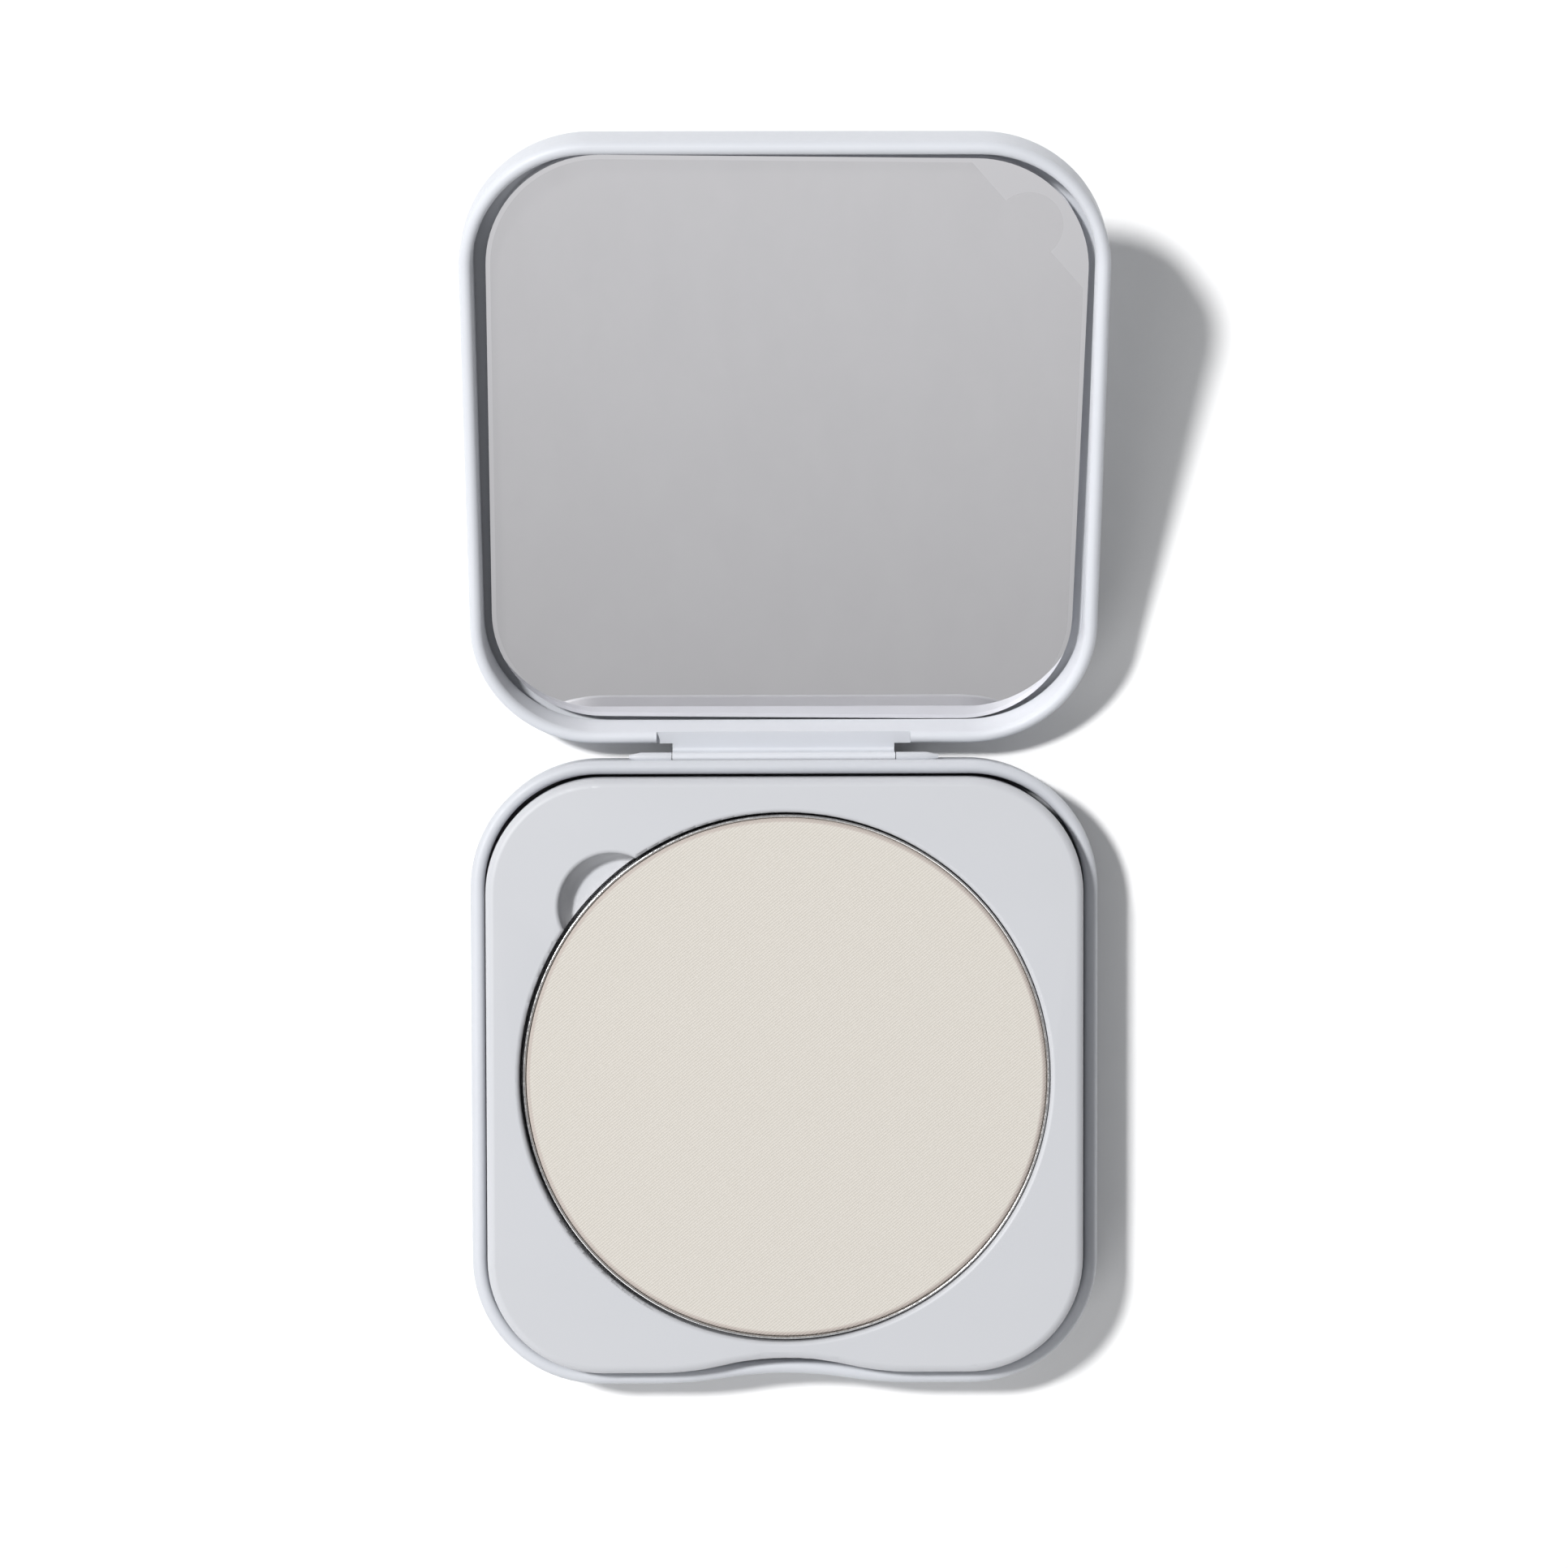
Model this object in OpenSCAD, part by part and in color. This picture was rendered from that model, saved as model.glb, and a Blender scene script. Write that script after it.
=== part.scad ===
// Square pressed-tin powder compact with a refill pan, shown with its lid fully open.
// The origin is the centre of the base's underside. +Y points at the hinge, +Z up.

/* [Base shell] */
// Half the outer width of the base
base_half = 35.3; // [35.2:0.1:36]
// Radius of the base's four corners
base_corner_r = 14.4; // [13:0.1:15]
// Height of the base up to the top of its rolled rim
base_h = 8.6; // [8:0.1:9.2]
// Radius of the rolled rim of the base
base_bead_r = 0.775; // [0.7:0.005:0.8]
// Length of the rim's inner skirt below the bead centre
base_skirt_l = 2.2; // [1:0.1:4]
// Bend between the base's floor and its wall
base_bend_r = 1.6; // [1:0.1:1.8]
// Radius of the arcs that form the wave in the front edge of the base
base_wave_r = 44.12; // [40:0.01:46]
// Steepest slope of that wave
base_wave_turn = 9.26; // [8:0.01:9.5]
// Thickness of the tinplate
sheet_t = 0.25; // [0.22:0.01:0.28]

/* [Insert tray] */
// Half the outer width of the tray
tray_half = 33.42; // [33.2:0.01:33.45]
// Radius of the tray's four corners
tray_corner_r = 12.9; // [12.8:0.1:13.2]
// Height of the tray's top face above the underside of the base
tray_top = 12.3; // [12:0.1:12.4]
// Shift of the tray and the well towards the front
tray_shift = 0.02; // [0:0.01:0.05]
// Radius of the tray's upper edge
tray_edge_r = 1; // [0.6:0.1:1.1]
// Wall thickness of the moulding
tray_wall = 1.15; // [1.1:0.05:1.5]
// Radius of the arcs that form the wave in the front edge of the tray
tray_wave_r = 30.95; // [28:0.01:32]
// Steepest slope of that wave
tray_wave_turn = 13.26; // [12:0.01:13.5]
// Radius of the round well
well_r = 29.75; // [29.7:0.05:30]
// Distance of the well's centre from the middle, towards the front
well_shift = 0.1; // [0:0.05:0.3]
// Depth of the well below the tray's top face
well_d = 5.5; // [5:0.1:6]
// Rounding of the upper edge of the well and the recess
well_edge_r = 0.5; // [0.4:0.1:1]
// Distance of the finger recess from the centre of the well
recess_reach = 27.2; // [27:0.1:28]
// Radius of the finger recess
recess_r = 6; // [5.8:0.1:6.2]
// Depth of the finger recess
recess_d = 3.2; // [3:0.1:3.6]
// Rounding between the recess's wall and its floor
recess_foot_r = 1.2; // [0.5:0.1:1.5]
// Distance of each snap nub from the middle of the front edge
nub_x = 17.5; // [16.5:0.1:18.5]
// Width of a snap nub
nub_w = 2.2; // [1.5:0.1:3]

/* [Refill pan] */
// Outer radius of the pan
pan_r = 29.5; // [29:0.05:29.5]
// Height of the pan
pan_h = 5; // [4:0.1:5.2]
// Thickness of the pan's sheet
pan_t = 0.3; // [0.2:0.05:0.4]
// Sideways play taken up by the pan in its well
pan_shift = 0.15; // [0:0.05:0.15]
// Distance of the powder's flat top below the pan's edge
powder_drop = 0.12; // [0.05:0.01:0.4]
// Radius of the magnet under the pan
magnet_r = 6; // [4:0.5:8]
// Thickness of the magnet
magnet_t = 1; // [0.8:0.1:1.2]

/* [Lid shell] */
// Half the outer width of the lid
lid_half = 35.06; // [35.04:0.01:35.2]
// Radius of the lid's four corners
lid_corner_r = 14.2; // [13:0.1:14.4]
// Height of the closed lid's rim above the underside of the base
lid_z = 8.75; // [8.7:0.05:8.9]
// Height of the closed compact
closed_h = 14.5; // [14.5:0.05:14.6]
// Radius of the lid's rolled rim
lid_bead_r = 0.72; // [0.7:0.005:0.72]
// Length of the lid rim's inner skirt, from the bead centre
lid_skirt_l = 3.15; // [2:0.05:3.15]
// Bend between the lid's panel and its wall
lid_bend_r = 1.5; // [1.2:0.1:2]
// Angle by which the lid is open
lid_open = 157.5; // [0:0.1:159]

/* [Hinge] */
// Height of the hinge pin above the underside of the base
hinge_z = 6.75; // [6.65:0.05:6.8]
// Distance of the pin from the outer face of the base's back wall
hinge_out = 0.3; // [0.29:0.01:0.32]
// Radius of the pin
pin_r = 0.25; // [0.2:0.01:0.27]
// Radial play between the pin and the curls
pin_play = 0.03; // [0.02:0.01:0.05]
// Width of the lid's leaf where it curls round the pin
leaf_w = 25.1; // [24:0.1:26]
// Width of the cut in the lid's rolled rim
cut_w = 28.7; // [27:0.1:30]
// Height of the leaf's flat above the closed lid's rim
leaf_rise = 0.55; // [0.5:0.05:0.7]
// Outer radius of the bend in the leaf
leaf_bend_r = 0.6; // [0.5:0.05:0.8]
// Length of each ear on the base
ear_l = 3.45; // [3:0.05:4]
// Length of the tapered end of each ear
ear_taper_l = 1.3; // [1:0.1:1.5]

/* [Mirror] */
// Half the width of the mirror glass
mirror_half = 32.65; // [32:0.05:32.7]
// What the glass is longer than wide, halved
mirror_extra = 0.25; // [0:0.05:0.3]
// Radius of the mirror's corners
mirror_corner_r = 12.5; // [12:0.1:13]
// Thickness of the glass
mirror_t = 1.1; // [1:0.1:1.3]
// Thickness of the foam tape behind the glass
mirror_tape_t = 0.4; // [0.3:0.05:0.4]
// Offset of the mirror in the lid: sideways and towards the hinge
mirror_shift = [0.1, 0.5]; // [0:0.1:0.5]
// Angle by which the mirror is glued in askew
mirror_skew = 0.6; // [0:0.1:0.8]
// Inset of the protective film from the mirror's edge
film_inset = 0.5; // [0.3:0.05:0.8]
// Thickness of the film
film_t = 0.06; // [0.05:0.01:0.1]
// Lengths cut off the two sides of the film's cut corner
film_cut = [12.5, 14]; // [11:0.5:14]
// Radius of the film's pull tab
film_tab_r = 3.8; // [3:0.1:4.5]

/* [Hidden] */
$fn = 96;
eps = 0.01;

bore_r = pin_r + pin_play;
curl_r = bore_r + sheet_t;
hinge_y = base_half + hinge_out;
base_bead_z = base_h - base_bead_r;
lid_bead_z = lid_z + lid_bead_r;
leaf_z = lid_z + leaf_rise;

tape_t = 0.25;
tray_foot = sheet_t + tape_t;
well_floor = tray_top - well_d;
foot_r = [18, 25];
foot_t = 1.1;
nub_out = 0.06;
nub_z = tray_top - tray_edge_r - 0.3;
recess_xy = recess_reach * cos(45);
pocket_gap = 0.05;
glue_t = 0.1;
magnet_proud = 0.05;
pan_gap = 0.03;
pan_floor = well_floor + magnet_proud + pan_gap;
pan_bend_r = 0.9;
powder_gap = 0.04;
powder_edge = 0.35;
ear_gap = 0.1;
ear_x = leaf_w / 2 + ear_gap;
window_z = [5.4, 7.45];
mirror_z = closed_h - sheet_t - mirror_tape_t - mirror_t;

// A wave is [radius, slope] of its arcs: an outer arc leads off the straight edge at either side, and a
// hollow one spans the middle, tangent to both.
BASE_WAVE = [base_wave_r, base_wave_turn];
TRAY_WAVE = [tray_wave_r, tray_wave_turn];
function wave_reach(wave) = 2 * wave[0] * sin(wave[1]);
function wave_depth(wave) = 2 * wave[0] * (1 - cos(wave[1]));

// Moves in a coarse and a fine step, which keeps arcs that meet exactly tangent
module place(to) {
    coarse = [for (step = to) round(10 * step) / 10];
    translate(coarse) translate(to - coarse) children();
}

// Square with round corners, centred on the origin. It can be longer than wide, by extra at each end.
module rounded_square(half, corner_r, extra = 0) {
    flat = half - corner_r;
    for (x = [-flat, flat], y = [-flat - extra, flat + extra])
        translate([x, y]) circle(corner_r);
    square([2 * half, 2 * (flat + extra)], center = true);
    square([2 * flat, 2 * (half + extra)], center = true);
}

// What the wave takes from the front of an outline, whose edge is moved inwards by inset
module wave_cut(half, wave, inset) {
    r = wave[0];
    reach = wave_reach(wave);
    depth = wave_depth(wave);
    join_x = reach / 2 + inset * sin(wave[1]);
    low_y = inset - half - 1;
    for (side = [0, 1])
        mirror([side, 0]) {
            intersection() {
                translate([0, low_y]) square([join_x, depth + 2]);
                place([0, depth - half - r]) circle(r + inset, $fn = 360);
            }
            difference() {
                translate([join_x, low_y]) square([reach - join_x, depth + 1]);
                place([reach, r - half]) circle(r - inset, $fn = 360);
            }
        }
}

// Outline of the base or the tray, moved inwards by inset
module outline(half, corner_r, wave, inset = 0) {
    difference() {
        rounded_square(half - inset, corner_r - inset);
        wave_cut(half, wave, inset);
    }
}

// Sweeps a profile along one straight stretch, from y = from to y = to
module straight_run(half, from, to) {
    place([half, to, 0]) rotate([90, 0, 0]) linear_extrude(to - from) children();
}

// Sweeps a profile round an outline. The profile's x is the distance out from the outline, its y the height.
module sweep_outline(half, corner_r, wave = undef) {
    flat = half - corner_r;
    for (side = [0 : 3])
        rotate(90 * side) {
            translate([flat, flat, 0])
                rotate_extrude(angle = 90) translate([corner_r, 0]) children();
            if (side < 3 || is_undef(wave))
                straight_run(half, -flat, flat) children();
        }
    if (!is_undef(wave))
        rotate(-90) sweep_wave(half, flat, wave) children();
}

// The front stretch of a swept outline: two straights, two outer arcs and the hollow of the wave
module sweep_wave(half, flat, wave) {
    r = wave[0];
    turn = wave[1];
    reach = wave_reach(wave);
    straight_run(half, reach, flat) children();
    straight_run(half, -flat, -reach) children();
    place([half - r, reach, 0])
        rotate_extrude(angle = turn, start = -turn) translate([r, 0]) children();
    place([half - r, -reach, 0])
        rotate_extrude(angle = turn, start = 0) translate([r, 0]) children();
    place([half - wave_depth(wave) + r, 0, 0])
        rotate_extrude(angle = 2 * turn, start = 180 - turn)
            translate([r, 0]) mirror([1, 0]) children();
}

// Quarter of a ring, in the quadrant that quadrant * 90 degrees starts
module ring_quarter(outer_r, inner_r, quadrant) {
    rotate(90 * quadrant)
        difference() {
            intersection() {
                circle(outer_r);
                square(outer_r + 1);
            }
            circle(inner_r);
        }
}

// Rolled rim seen in section: a half ring between the outer wall and the inner skirt, opening downwards
module hem_profile(bead_r, bead_z, skirt_l) {
    translate([-bead_r, bead_z])
        for (quadrant = [0, 1])
            ring_quarter(bead_r, bead_r - sheet_t, quadrant);
    translate([-2 * bead_r, bead_z - skirt_l]) square([sheet_t, skirt_l]);
}

module base_profile() {
    hem_profile(base_bead_r, base_bead_z, base_skirt_l);
    translate([-sheet_t, base_bend_r]) square([sheet_t, base_bead_z - base_bend_r]);
    translate([-base_bend_r, base_bend_r]) ring_quarter(base_bend_r, base_bend_r - sheet_t, 3);
}

// One ear of the base: a curl for the pin with a tapered, closed end
module base_ear() {
    translate([ear_x, hinge_y, hinge_z])
        rotate([0, 90, 0]) {
            difference() {
                cylinder(ear_l, r = curl_r);
                translate([0, 0, -eps]) cylinder(ear_l, r = bore_r);
            }
            translate([0, 0, ear_l]) cylinder(ear_taper_l, r1 = curl_r, r2 = sheet_t);
        }
}

module base_shell() {
    color("#d9dce6") {
        difference() {
            union() {
                sweep_outline(base_half, base_corner_r, BASE_WAVE) base_profile();
                linear_extrude(sheet_t) outline(base_half, base_corner_r, BASE_WAVE, base_bend_r);
            }
            translate([-ear_x, base_half - 2 * sheet_t, window_z[0]])
                cube([2 * ear_x, 4 * sheet_t, window_z[1] - window_z[0]]);
        }
        for (side = [0, 1])
            mirror([side, 0, 0]) base_ear();
    }
}

module hinge_pin() {
    pin_l = 2 * (ear_x + ear_l) - 0.2;
    color("#b9bcc2")
        translate([-pin_l / 2, hinge_y, hinge_z]) rotate([0, 90, 0]) cylinder(pin_l, r = pin_r);
}

// Section through the tray's skirt, with the rounded upper edge
module tray_profile() {
    translate([-tray_wall, tray_foot]) square([tray_wall, tray_top - tray_edge_r - tray_foot]);
    translate([-tray_wall, tray_foot]) square([tray_wall - tray_edge_r, tray_top - tray_foot]);
    translate([-tray_edge_r, tray_top - tray_edge_r]) ring_quarter(tray_edge_r, 0, 0);
}

// The cup under the well, its foot ring and the block that the finger recess is sunk in
module tray_inside() {
    cup_r = well_r + tray_wall;
    translate([0, -well_shift, 0]) {
        translate([0, 0, well_floor - 2 * tray_wall])
            cylinder(tray_top - well_floor + 2 * tray_wall, r = cup_r);
        translate([0, 0, tray_foot])
            difference() {
                cylinder(well_floor - tray_foot - tray_wall, r = foot_r[1]);
                translate([0, 0, foot_t])
                    difference() {
                        cylinder(well_floor, r = foot_r[1] + 1);
                        translate([0, 0, -1]) cylinder(well_floor + 2, r = foot_r[0] + tray_wall);
                    }
                translate([0, 0, -eps]) cylinder(well_floor, r = foot_r[0]);
            }
        translate([-recess_xy, recess_xy, well_floor]) cylinder(well_d, r = recess_r + tray_wall);
    }
}

module snap_nub() {
    translate([nub_x - nub_w / 2, nub_out - tray_half + 0.6 - 2 * nub_out, nub_z])
        rotate([0, 90, 0]) cylinder(nub_w, r = 0.6);
}

// Half section of a round cutter, made wider at the tray's top so that it leaves a round upper edge
module widen_mouth(r) {
    lip_z = tray_top - well_edge_r;
    difference() {
        union() {
            children();
            translate([0, lip_z]) square([r + well_edge_r, well_edge_r + 1]);
        }
        translate([r + well_edge_r, lip_z]) circle(well_edge_r);
    }
}

module well_cutter() {
    rotate_extrude($fn = 180)
        widen_mouth(well_r)
            translate([0, well_floor]) square([well_r, well_d + 1]);
}

// Cutter of the finger recess: a round pocket with a soft foot
module recess_cutter() {
    flat = recess_r - recess_foot_r;
    floor_z = tray_top - recess_d;
    translate([-recess_xy, recess_xy, 0])
        rotate_extrude()
            widen_mouth(recess_r) {
                translate([0, floor_z]) square([flat, recess_d + 1]);
                translate([0, floor_z + recess_foot_r]) square([recess_r, recess_d - recess_foot_r + 1]);
                translate([flat, floor_z + recess_foot_r]) circle(recess_foot_r);
            }
}

module insert_tray() {
    color("#dadde4")
        translate([0, -tray_shift, 0])
            difference() {
                union() {
                    sweep_outline(tray_half, tray_corner_r, TRAY_WAVE) tray_profile();
                    translate([0, 0, tray_top - tray_wall])
                        linear_extrude(tray_wall)
                            outline(tray_half, tray_corner_r, TRAY_WAVE, tray_edge_r);
                    tray_inside();
                    for (side = [0, 1])
                        mirror([side, 0, 0]) snap_nub();
                }
                translate([0, -well_shift, 0]) {
                    well_cutter();
                    recess_cutter();
                    translate([0, 0, well_floor - magnet_t + magnet_proud - glue_t])
                        cylinder(magnet_t + 1, r = magnet_r + pocket_gap);
                }
            }
}

// Everything in the well shares its centre
module in_well(z, x = 0) {
    translate([x, -tray_shift - well_shift, z]) children();
}

module insert_adhesive() {
    color("#e8e4d8")
        in_well(sheet_t)
            difference() {
                cylinder(tape_t, r = foot_r[1]);
                translate([0, 0, -eps]) cylinder(tape_t + 1, r = foot_r[0]);
            }
}

module pan_magnet() {
    color("#8a8d92")
        in_well(well_floor + magnet_proud - magnet_t) cylinder(magnet_t, r = magnet_r);
}

module magnet_adhesive() {
    color("#d8d2bf")
        in_well(well_floor + magnet_proud - magnet_t - glue_t) cylinder(glue_t, r = magnet_r);
}

module refill_pan() {
    color("#c4c6ca")
        in_well(pan_floor, pan_shift)
            rotate_extrude($fn = 180) {
                square([pan_r - pan_bend_r, pan_t]);
                translate([pan_r - pan_bend_r, pan_bend_r]) ring_quarter(pan_bend_r, pan_bend_r - pan_t, 3);
                translate([pan_r - pan_t, pan_bend_r])
                    square([pan_t, pan_h - pan_bend_r - pan_t / 2]);
                translate([pan_r - pan_t / 2, pan_h - pan_t / 2]) circle(pan_t / 2);
            }
}

module powder_cake() {
    cake_r = pan_r - pan_t - powder_gap;
    low = pan_bend_r + pan_t;
    high = pan_h - powder_drop;
    color("#dedacf")
        in_well(pan_floor, pan_shift)
            rotate_extrude($fn = 180)
                polygon([
                    [0, pan_t], [cake_r - low + pan_t, pan_t], [cake_r, low],
                    [cake_r, high - powder_edge], [cake_r - powder_edge, high], [0, high]
                ]);
}

// Places a piece of the lid, drawn closed, at the angle that the lid is open
module on_lid() {
    translate([0, hinge_y, hinge_z]) rotate([-lid_open, 0, 0]) translate([0, -hinge_y, -hinge_z]) children();
}

module lid_profile() {
    translate([0, 2 * lid_bead_z]) mirror([0, 1]) hem_profile(lid_bead_r, lid_bead_z, lid_skirt_l);
    translate([-sheet_t, lid_bead_z]) square([sheet_t, closed_h - lid_bend_r - lid_bead_z]);
    translate([-lid_bend_r, closed_h - lid_bend_r]) ring_quarter(lid_bend_r, lid_bend_r - sheet_t, 0);
}

// Leaf of the lid: a flat that bridges the cut in the rim, a bend, and a curl round the pin
module hinge_leaf() {
    bend_y = hinge_y + curl_r - leaf_bend_r;
    bend_z = leaf_z + sheet_t - leaf_bend_r;
    skirt_y = lid_half - 2 * lid_bead_r;
    translate([-cut_w / 2, skirt_y, leaf_z]) cube([cut_w, 2 * lid_bead_r, sheet_t]);
    translate([-leaf_w / 2, lid_half - eps, leaf_z]) cube([leaf_w, bend_y - lid_half + eps, sheet_t]);
    translate([-leaf_w / 2, hinge_y + bore_r, hinge_z]) cube([leaf_w, sheet_t, bend_z - hinge_z]);
    translate([leaf_w / 2, bend_y, bend_z])
        rotate([90, 0, -90]) linear_extrude(leaf_w) ring_quarter(leaf_bend_r, leaf_bend_r - sheet_t, 1);
    translate([-leaf_w / 2, hinge_y, hinge_z])
        rotate([0, 90, 0])
            difference() {
                cylinder(leaf_w, r = curl_r);
                translate([0, 0, -1]) cylinder(leaf_w + 2, r = bore_r);
            }
}

module lid_shell() {
    color("#dde0e8")
        on_lid() {
            difference() {
                union() {
                    sweep_outline(lid_half, lid_corner_r) lid_profile();
                    translate([0, 0, closed_h - sheet_t])
                        linear_extrude(sheet_t)
                            rounded_square(lid_half - lid_bend_r, lid_corner_r - lid_bend_r);
                }
                translate([-cut_w / 2, lid_half - 2 * lid_bead_r - 1, lid_z - 1])
                    cube([cut_w, 2 * lid_bead_r + 2, leaf_z + sheet_t / 2 - lid_z + 1]);
            }
            hinge_leaf();
        }
}

// Places a piece of the mirror, drawn round the middle of the glass
module on_mirror(z) {
    on_lid()
        translate([mirror_shift[0], mirror_shift[1], z]) rotate(mirror_skew) children();
}

module mirror_adhesive() {
    color("#e6e6e2")
        on_mirror(mirror_z + mirror_t)
            linear_extrude(mirror_tape_t) rounded_square(mirror_half - 3, mirror_corner_r - 3);
}

module mirror_glass() {
    color("#c6c6c9")
        on_mirror(mirror_z)
            linear_extrude(mirror_t) rounded_square(mirror_half, mirror_corner_r, mirror_extra);
}

// The film's outline: its far right corner is cut off, with a round tab on the middle of the cut
module film_outline() {
    half_w = mirror_half - film_inset;
    half_l = half_w + mirror_extra;
    difference() {
        rounded_square(half_w, mirror_corner_r - film_inset, mirror_extra);
        translate([half_w, -half_l])
            polygon([for (corner = [[-1.1, -0.1], [0.1, 1.1], [0.1, -0.1]])
                [corner[0] * film_cut[0], corner[1] * film_cut[1]]]);
    }
    translate([half_w - film_cut[0] / 2, film_cut[1] / 2 - half_l]) circle(film_tab_r);
}

module mirror_film() {
    color("#c2c1c4")
        on_mirror(mirror_z - film_t) linear_extrude(film_t) film_outline();
}

base_shell();
hinge_pin();
insert_tray();
insert_adhesive();
pan_magnet();
magnet_adhesive();
refill_pan();
powder_cake();
lid_shell();
mirror_adhesive();
mirror_glass();
mirror_film();
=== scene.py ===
"""Looks of the square tin powder compact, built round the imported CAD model.

The pieces are the CAD model's own, apart from the cake of powder, which is rebuilt here with its soft
edge. Every piece gets a procedural material.
"""

from math import cos, pi, radians, sin

import bpy
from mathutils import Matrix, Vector


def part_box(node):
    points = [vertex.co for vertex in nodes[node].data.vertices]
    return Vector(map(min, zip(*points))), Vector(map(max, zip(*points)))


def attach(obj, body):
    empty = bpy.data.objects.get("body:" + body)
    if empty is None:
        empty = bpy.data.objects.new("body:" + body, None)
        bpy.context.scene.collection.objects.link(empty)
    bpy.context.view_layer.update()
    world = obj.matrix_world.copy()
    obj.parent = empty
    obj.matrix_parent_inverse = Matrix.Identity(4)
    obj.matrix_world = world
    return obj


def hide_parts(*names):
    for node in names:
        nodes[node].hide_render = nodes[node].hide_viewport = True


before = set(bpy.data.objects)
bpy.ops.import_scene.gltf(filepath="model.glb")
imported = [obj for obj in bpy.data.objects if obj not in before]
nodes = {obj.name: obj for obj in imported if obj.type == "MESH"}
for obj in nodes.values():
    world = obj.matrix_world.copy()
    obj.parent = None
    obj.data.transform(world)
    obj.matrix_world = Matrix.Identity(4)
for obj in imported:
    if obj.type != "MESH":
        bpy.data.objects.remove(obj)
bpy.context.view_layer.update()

MM = 0.001

# Cake of powder, in metres. The pan's rim stands just outside it.
CAKE_GAP = 0.34 * MM
CAKE_DROP = 0.14 * MM
CAKE_EDGE_W = 0.5 * MM
CAKE_EDGE_H = 0.38 * MM
CAKE_FOOT = 1.2 * MM
CAKE_SIDES = 360
TWILL_PITCH = 0.285 * MM
TWILL_ANGLE = radians(39)
CROSS_PITCH = 0.226 * MM
CROSS_ANGLE = radians(135)

# Camera and light, in metres from the middle of the base's underside
CAMERA_PLACE = (-0.00634, 0.05487, 0.46948)
CAMERA_TURN = (radians(-2.761), radians(-0.794), radians(-0.136))
CAMERA_LENS = 94.36
KEY_PLACE = (-1.018, 0.655, 1.9)
KEY_SIZE = 0.256
KEY_POWER = 50.5
FILL_PLACE = (-0.5, -0.7, 0.7)
FILL_SIZE = 0.6
FILL_POWER = 2.6

# Modifiers on the CAD nodes: what counts as one vertex, the least angle of a crisp edge, and how far the
# film swells so that its back, which lies exactly on the glass, is hidden behind the glass's face
WELD_GAP = 0.001 * MM
CRISP_ANGLE = radians(30)
FILM_SWELL = 0.01 * MM

# Floor
FLOOR_HALF = 3.0
FLOOR_Z = -0.05 * MM

# Studio: where the bright card hangs, and for the card and the horizon the span of the cosine or height
# that it fades over with the strength at either end
CARD_AIM = (0, -0.45, 0.89)
CARD_FADE = (0.89, 1.0, 0.0, 0.53)
HORIZON_FADE = (0.0, 0.3, 0.75, 0.235)
STUDIO_COLOUR = (0.97, 0.98, 1.0, 1.0)


# ---------------------------------------------------------------- materials


class Finish:
    """A material with a Principled shader, and short ways to add what varies over its surface."""

    def __init__(self, name, colour, roughness, metallic=0.0):
        self.material = bpy.data.materials.new(name)
        self.material.use_nodes = True
        self.tree = self.material.node_tree
        self.shader = self.tree.nodes["Principled BSDF"]
        self.place = self.tree.nodes.new("ShaderNodeTexCoord").outputs["Object"]
        self.bump_from = None
        self.set("Base Color", (*colour, 1.0))
        self.set("Roughness", roughness)
        self.set("Metallic", metallic)

    def set(self, socket, value):
        self.shader.inputs[socket].default_value = value

    def node(self, kind, inputs=None, **settings):
        made = self.tree.nodes.new(kind)
        for name, value in settings.items():
            setattr(made, name, value)
        for name, value in (inputs or {}).items():
            self.feed(made.inputs[name], value)
        return made

    def feed(self, socket, value):
        if isinstance(value, bpy.types.NodeSocket):
            self.tree.links.new(value, socket)
        else:
            socket.default_value = value

    def noise(self, size, detail=3.0, roughness=0.5, stretch=(1, 1, 1)):
        """Noise whose features are about size metres across."""
        scaled = self.node("ShaderNodeMapping", {"Vector": self.place, "Scale": stretch})
        inputs = {
            "Vector": scaled.outputs["Vector"],
            "Scale": 1 / size,
            "Detail": detail,
            "Roughness": roughness,
        }
        return self.node("ShaderNodeTexNoise", inputs).outputs["Fac"]

    def span(self, value, low, high, start=0.0, end=1.0):
        """Maps low..high to start..end, smoothly and clamped."""
        inputs = {"Value": value, "From Min": low, "From Max": high, "To Min": start, "To Max": end}
        made = self.node("ShaderNodeMapRange", inputs, interpolation_type="SMOOTHSTEP")
        return made.outputs["Result"]

    def blend(self, factor, colour_a, colour_b, blend_type="MIX"):
        made = self.node("ShaderNodeMix", data_type="RGBA", blend_type=blend_type)
        self.feed(made.inputs["Factor"], factor)
        sockets = [s for s in made.inputs if s.type == "RGBA"]
        for socket, colour in zip(sockets, (colour_a, colour_b)):
            flat = isinstance(colour, tuple)
            self.feed(socket, (*colour, 1.0) if flat else colour)
        return [s for s in made.outputs if s.type == "RGBA"][0]

    def vary(self, socket, value):
        """Feeds a varying value to one of the shader's sockets."""
        self.feed(self.shader.inputs[socket], value)

    def paint(self, colour):
        self.vary("Base Color", colour)

    def bump(self, height, depth, strength=1.0):
        """Raises the surface by depth metres where height is 1, on top of any bump added before."""
        inputs = {"Height": height, "Distance": depth, "Strength": strength}
        made = self.node("ShaderNodeBump", inputs)
        if self.bump_from:
            self.feed(made.inputs["Normal"], self.bump_from)
        self.bump_from = made.outputs["Normal"]
        self.vary("Normal", self.bump_from)


def shade(colour, factor):
    return tuple(c * factor for c in colour)


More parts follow.
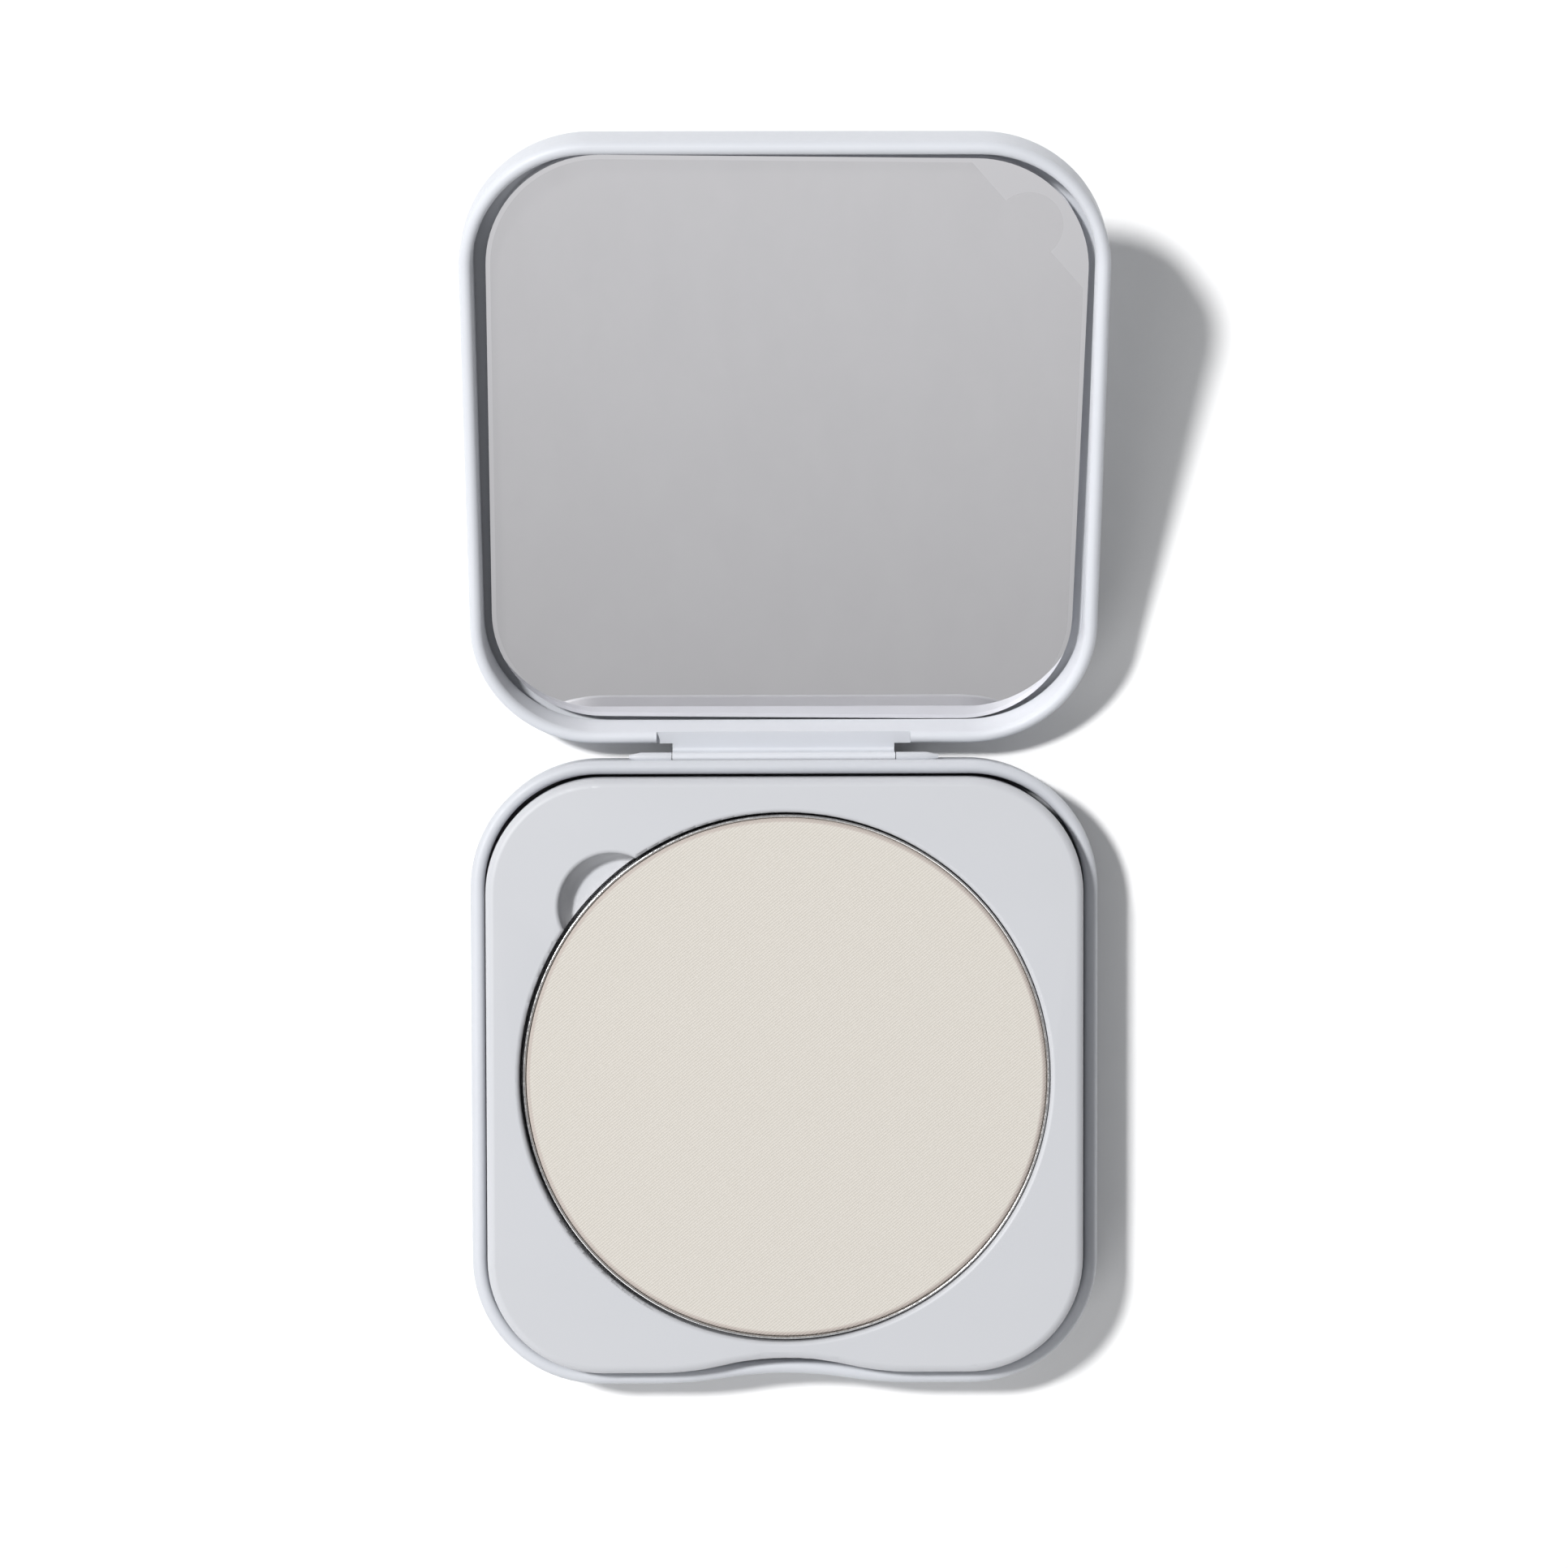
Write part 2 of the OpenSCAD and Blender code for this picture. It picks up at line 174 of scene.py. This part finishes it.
def lacquer(name, colour):
    """Matte baked lacquer: a faint orange peel, and a faint unevenness of tone."""
    made = Finish(name, colour, 0.5)
    cloudy = made.noise(9 * MM, 2.0)
    made.paint(made.blend(cloudy, shade(colour, 0.975), shade(colour, 1.02)))
    made.vary("Roughness", made.span(made.noise(0.6 * MM), 0.3, 0.7, 0.45, 0.55))
    made.bump(made.noise(0.35 * MM, 4.0), 0.0025 * MM)
    return made.material


def moulded_plastic(name, colour):
    """Satin moulded plastic with a fine spark-eroded grain and soft flow marks."""
    made = Finish(name, colour, 0.5)
    flow = made.noise(16 * MM, 2.0, stretch=(0.5, 1.4, 1))
    made.paint(made.blend(flow, shade(colour, 0.98), shade(colour, 1.015)))
    made.bump(made.noise(0.16 * MM, 5.0, 0.6), 0.003 * MM)
    return made.material


def brushed_metal(name, colour, roughness, grain_stretch=(1, 1, 1)):
    made = Finish(name, colour, roughness, 1.0)
    grain = made.noise(0.3 * MM, 4.0, 0.6, grain_stretch)
    made.paint(made.blend(grain, shade(colour, 0.85), shade(colour, 1.08)))
    made.vary("Roughness", made.span(grain, 0.3, 0.7, roughness * 0.7, roughness * 1.4))
    made.bump(grain, 0.006 * MM)
    return made.material


def sticky_layer(name, colour):
    """Tape or glue, with small bubbles and a cloudy colour."""
    made = Finish(name, colour, 0.65)
    cloud = made.noise(1.5 * MM, 4.0)
    made.paint(made.blend(cloud, shade(colour, 0.85), colour))
    made.bump(made.noise(0.25 * MM, 2.0), 0.02 * MM)
    return made.material


def silvered_glass(name):
    """Front of the mirror. The colour and the polish are even, apart from the faintest haze."""
    made = Finish(name, (0.935, 0.92, 0.93), 0.02, 1.0)
    haze = made.noise(6 * MM, 4.0)
    made.vary("Roughness", made.span(haze, 0.45, 0.8, 0.012, 0.05))
    made.paint(made.blend(haze, (0.94, 0.925, 0.935), (0.92, 0.905, 0.92)))
    return made.material


def clear_film(name):
    """Protective film: nearly clear, a little dark, with faint ripples from the roll."""
    made = Finish(name, (0.30, 0.29, 0.29), 0.22)
    ripple = made.noise(5 * MM, 3.0, stretch=(1, 0.3, 1))
    made.vary("Alpha", made.span(ripple, 0.3, 0.7, 0.05, 0.065))
    made.bump(ripple, 0.004 * MM)
    return made.material


def ribs(made, angle, pitch, wobble):
    """Parallel ribs that run at an angle from the X axis. A wave texture has 20 / 2 pi bands per unit."""
    turn = (0, 0, -angle - pi / 2)
    turned = made.node("ShaderNodeMapping", {"Vector": made.place, "Rotation": turn})
    inputs = {
        "Vector": turned.outputs["Vector"],
        "Scale": 2 * pi / (20 * pitch),
        "Distortion": wobble,
        "Detail": 2.0,
        "Detail Scale": 1.5,
    }
    return made.node("ShaderNodeTexWave", inputs, wave_type="BANDS").outputs["Fac"]


def distance_from_axis(made, middle):
    """Distance of the shaded point from the upright line through middle."""
    kind = "ShaderNodeVectorMath"
    away = made.node(kind, {0: made.place, 1: middle}, operation="SUBTRACT")
    flat = made.node(kind, {0: away.outputs["Vector"], 1: (1, 1, 0)}, operation="MULTIPLY")
    return made.node(kind, {0: flat.outputs["Vector"]}, operation="LENGTH").outputs["Value"]


def pressed_powder(name, radius, middle):
    """Ivory powder with a twill imprint, painted shade in the twill's grooves and painted highlight on
    its ridges, and painted shade on the bevel against the pan.
    """
    ivory = (0.605, 0.574, 0.528)
    made = Finish(name, ivory, 0.85)
    made.set("Sheen Weight", 0.08)
    made.set("Specular IOR Level", 0.25)
    twill = ribs(made, TWILL_ANGLE, TWILL_PITCH, 0.4)
    cross = ribs(made, CROSS_ANGLE, CROSS_PITCH, 0.6)
    grain = made.noise(0.09 * MM, 3.0, 0.7)
    # Painted shade and highlight: the twill's grooves are painted darker and its ridges lighter, in step
    # with the bump below.
    twill_painted_shade = made.blend(twill, shade(ivory, 0.92), shade(ivory, 1.045))
    speckle = made.blend(made.span(grain, 0.35, 0.7), (0.94, 0.935, 0.92), (1.03, 1.03, 1.03))
    surface = made.blend(1.0, twill_painted_shade, speckle, "MULTIPLY")
    reach = distance_from_axis(made, middle)
    # Painted shade: the bevel against the pan is painted a darker brown.
    bevel_painted_shade = made.span(reach, radius - CAKE_EDGE_W - 0.1 * MM, radius - CAKE_EDGE_W + 0.15 * MM)
    made.paint(made.blend(bevel_painted_shade, surface, (0.47, 0.42, 0.385)))
    made.bump(twill, 0.020 * MM)
    made.bump(cross, 0.008 * MM)
    made.bump(grain, 0.012 * MM)
    return made.material


# ---------------------------------------------------------------- powder


def mesh_of_rings(name, rings):
    """A smooth mesh whose rings all have the same number of points, closed over the last ring."""
    count = len(rings[0])
    spots = [p for ring in rings for p in ring]
    faces = []
    for row in range(len(rings) - 1):
        for k in range(count):
            a, b = row * count + k, row * count + (k + 1) % count
            faces.append((a, b, b + count, a + count))
    faces.append(tuple(range(len(spots) - count, len(spots))))
    mesh = bpy.data.meshes.new(name)
    mesh.from_pydata(spots, [], faces)
    mesh.shade_smooth()
    made = bpy.data.objects.new(name, mesh)
    bpy.context.scene.collection.objects.link(made)
    return made


def cake_mesh(middle, radius, floor_z, top_z):
    """Pressed cake: rings from the underside up its wall, over the bevel and across the flat top."""
    section = [
        (radius - CAKE_FOOT, floor_z),
        (radius, floor_z + CAKE_FOOT),
        (radius, top_z - CAKE_EDGE_H),
    ]
    for k in range(1, 9):
        t = pi / 2 * k / 8
        reach = radius - CAKE_EDGE_W * (1 - cos(t))
        section.append((reach, top_z - CAKE_EDGE_H * (1 - sin(t))))
    for share in (0.97, 0.9, 0.75, 0.5, 0.25, 0.02):
        section.append((radius * share, top_z))
    turns = [2 * pi * k / CAKE_SIDES for k in range(CAKE_SIDES)]
    rays = [(cos(turn), sin(turn)) for turn in turns]
    x, y = middle
    rings = [[(x + reach * u, y + reach * v, z) for u, v in rays] for reach, z in section]
    return mesh_of_rings("powder_top", rings)


# ---------------------------------------------------------------- scene


def repaint(node, material):
    """Gives a CAD node its material, with even shading on flats and crisp true edges."""
    obj = nodes[node]
    obj.data.materials.clear()
    obj.data.materials.append(material)
    joined = obj.modifiers.new("joined", "WELD")
    joined.merge_threshold = WELD_GAP
    crisp = obj.modifiers.new("crisp", "EDGE_SPLIT")
    crisp.split_angle = CRISP_ANGLE
    obj.modifiers.new("even", "WEIGHTED_NORMAL")


def repaint_all():
    tin = (0.605, 0.622, 0.66)
    # Painted shade: the base's lacquer is the lid's tin colour darkened by 0.88, a shaded copy of the one
    # lacquer.
    repaint("base_shell", lacquer("base_lacquer_painted_shade_look", shade(tin, 0.88)))
    repaint("lid_shell", lacquer("lid_lacquer_look", tin))
    repaint("hinge_pin", brushed_metal("pin_look", (0.62, 0.63, 0.65), 0.3, (0.2, 1, 1)))
    repaint("insert_tray", moulded_plastic("tray_look", (0.508, 0.516, 0.54)))
    repaint("insert_adhesive", sticky_layer("tape_look", (0.86, 0.85, 0.80)))
    repaint("pan_magnet", brushed_metal("magnet_look", (0.60, 0.61, 0.63), 0.25))
    repaint("magnet_adhesive", sticky_layer("glue_look", (0.83, 0.80, 0.70)))
    repaint("refill_pan", brushed_metal("pan_look", (0.78, 0.77, 0.76), 0.22))
    repaint("mirror_adhesive", sticky_layer("foam_look", (0.86, 0.86, 0.84)))
    repaint("mirror_glass", silvered_glass("mirror_look"))
    repaint("mirror_film", clear_film("film_look"))
    swollen = nodes["mirror_film"].modifiers.new("clear of the glass", "DISPLACE")
    swollen.strength = FILM_SWELL
    swollen.mid_level = 0


def add_powder():
    pan_low, pan_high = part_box("refill_pan")
    cake_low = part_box("powder_cake")[0]
    middle = ((pan_low.x + pan_high.x) / 2, (pan_low.y + pan_high.y) / 2)
    radius = (pan_high.x - pan_low.x) / 2 - CAKE_GAP
    top_z = pan_high.z - CAKE_DROP
    cake = cake_mesh(middle, radius, cake_low.z, top_z)
    cake.data.materials.append(pressed_powder("powder_look", radius, (*middle, 0)))
    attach(cake, "pan")
    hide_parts("powder_cake")


def add_floor():
    mesh = bpy.data.meshes.new("floor")
    corners = ((-1, -1), (1, -1), (1, 1), (-1, 1))
    spots = [(x * FLOOR_HALF, y * FLOOR_HALF, FLOOR_Z) for x, y in corners]
    mesh.from_pydata(spots, [], [(0, 1, 2, 3)])
    floor = bpy.data.objects.new("floor", mesh)
    bpy.context.scene.collection.objects.link(floor)
    made = Finish("floor_look", (0.90, 0.90, 0.90), 0.8)
    made.paint(made.blend(made.noise(0.4), (0.895, 0.895, 0.895), (0.905, 0.905, 0.905)))
    mesh.materials.append(made.material)


def add_camera():
    data = bpy.data.cameras.new("camera")
    data.lens = CAMERA_LENS
    data.sensor_width = 36
    data.clip_start = 0.01
    camera = bpy.data.objects.new("camera", data)
    camera.location = CAMERA_PLACE
    camera.rotation_euler = CAMERA_TURN
    bpy.context.scene.collection.objects.link(camera)
    bpy.context.scene.camera = camera


def add_light(name, place, size, power):
    """A round soft light that points at the middle of the compact."""
    data = bpy.data.lights.new(name, "AREA")
    data.shape = "DISK"
    data.size = size
    data.energy = power
    light = bpy.data.objects.new(name, data)
    light.location = place
    light.rotation_euler = Vector(place).to_track_quat("Z", "Y").to_euler()
    bpy.context.scene.collection.objects.link(light)


def add_studio():
    """Soft surroundings: pale at the horizon, dim above, and a bright card high over the front."""
    world = bpy.data.worlds.new("studio")
    world.use_nodes = True
    tree = world.node_tree
    ray = tree.nodes.new("ShaderNodeTexCoord").outputs["Generated"]
    aim = tree.nodes.new("ShaderNodeVectorMath")
    aim.operation = "DOT_PRODUCT"
    aim.inputs[1].default_value = Vector(CARD_AIM).normalized()
    tree.links.new(ray, aim.inputs[0])
    card = tree.nodes.new("ShaderNodeMapRange")
    height = tree.nodes.new("ShaderNodeSeparateXYZ")
    tree.links.new(ray, height.inputs["Vector"])
    horizon = tree.nodes.new("ShaderNodeMapRange")
    for node, source, values in (
        (card, aim.outputs["Value"], CARD_FADE),
        (horizon, height.outputs["Z"], HORIZON_FADE),
    ):
        tree.links.new(source, node.inputs["Value"])
        for socket, value in zip(("From Min", "From Max", "To Min", "To Max"), values):
            node.inputs[socket].default_value = value
    total = tree.nodes.new("ShaderNodeMath")
    tree.links.new(card.outputs["Result"], total.inputs[0])
    tree.links.new(horizon.outputs["Result"], total.inputs[1])
    tree.links.new(total.outputs["Value"], tree.nodes["Background"].inputs["Strength"])
    tree.nodes["Background"].inputs["Color"].default_value = STUDIO_COLOUR
    bpy.context.scene.world = world


repaint_all()
add_powder()
add_floor()
add_camera()
add_light("key", KEY_PLACE, KEY_SIZE, KEY_POWER)
add_light("fill", FILL_PLACE, FILL_SIZE, FILL_POWER)
add_studio()
bpy.context.scene.view_settings.view_transform = "Standard"
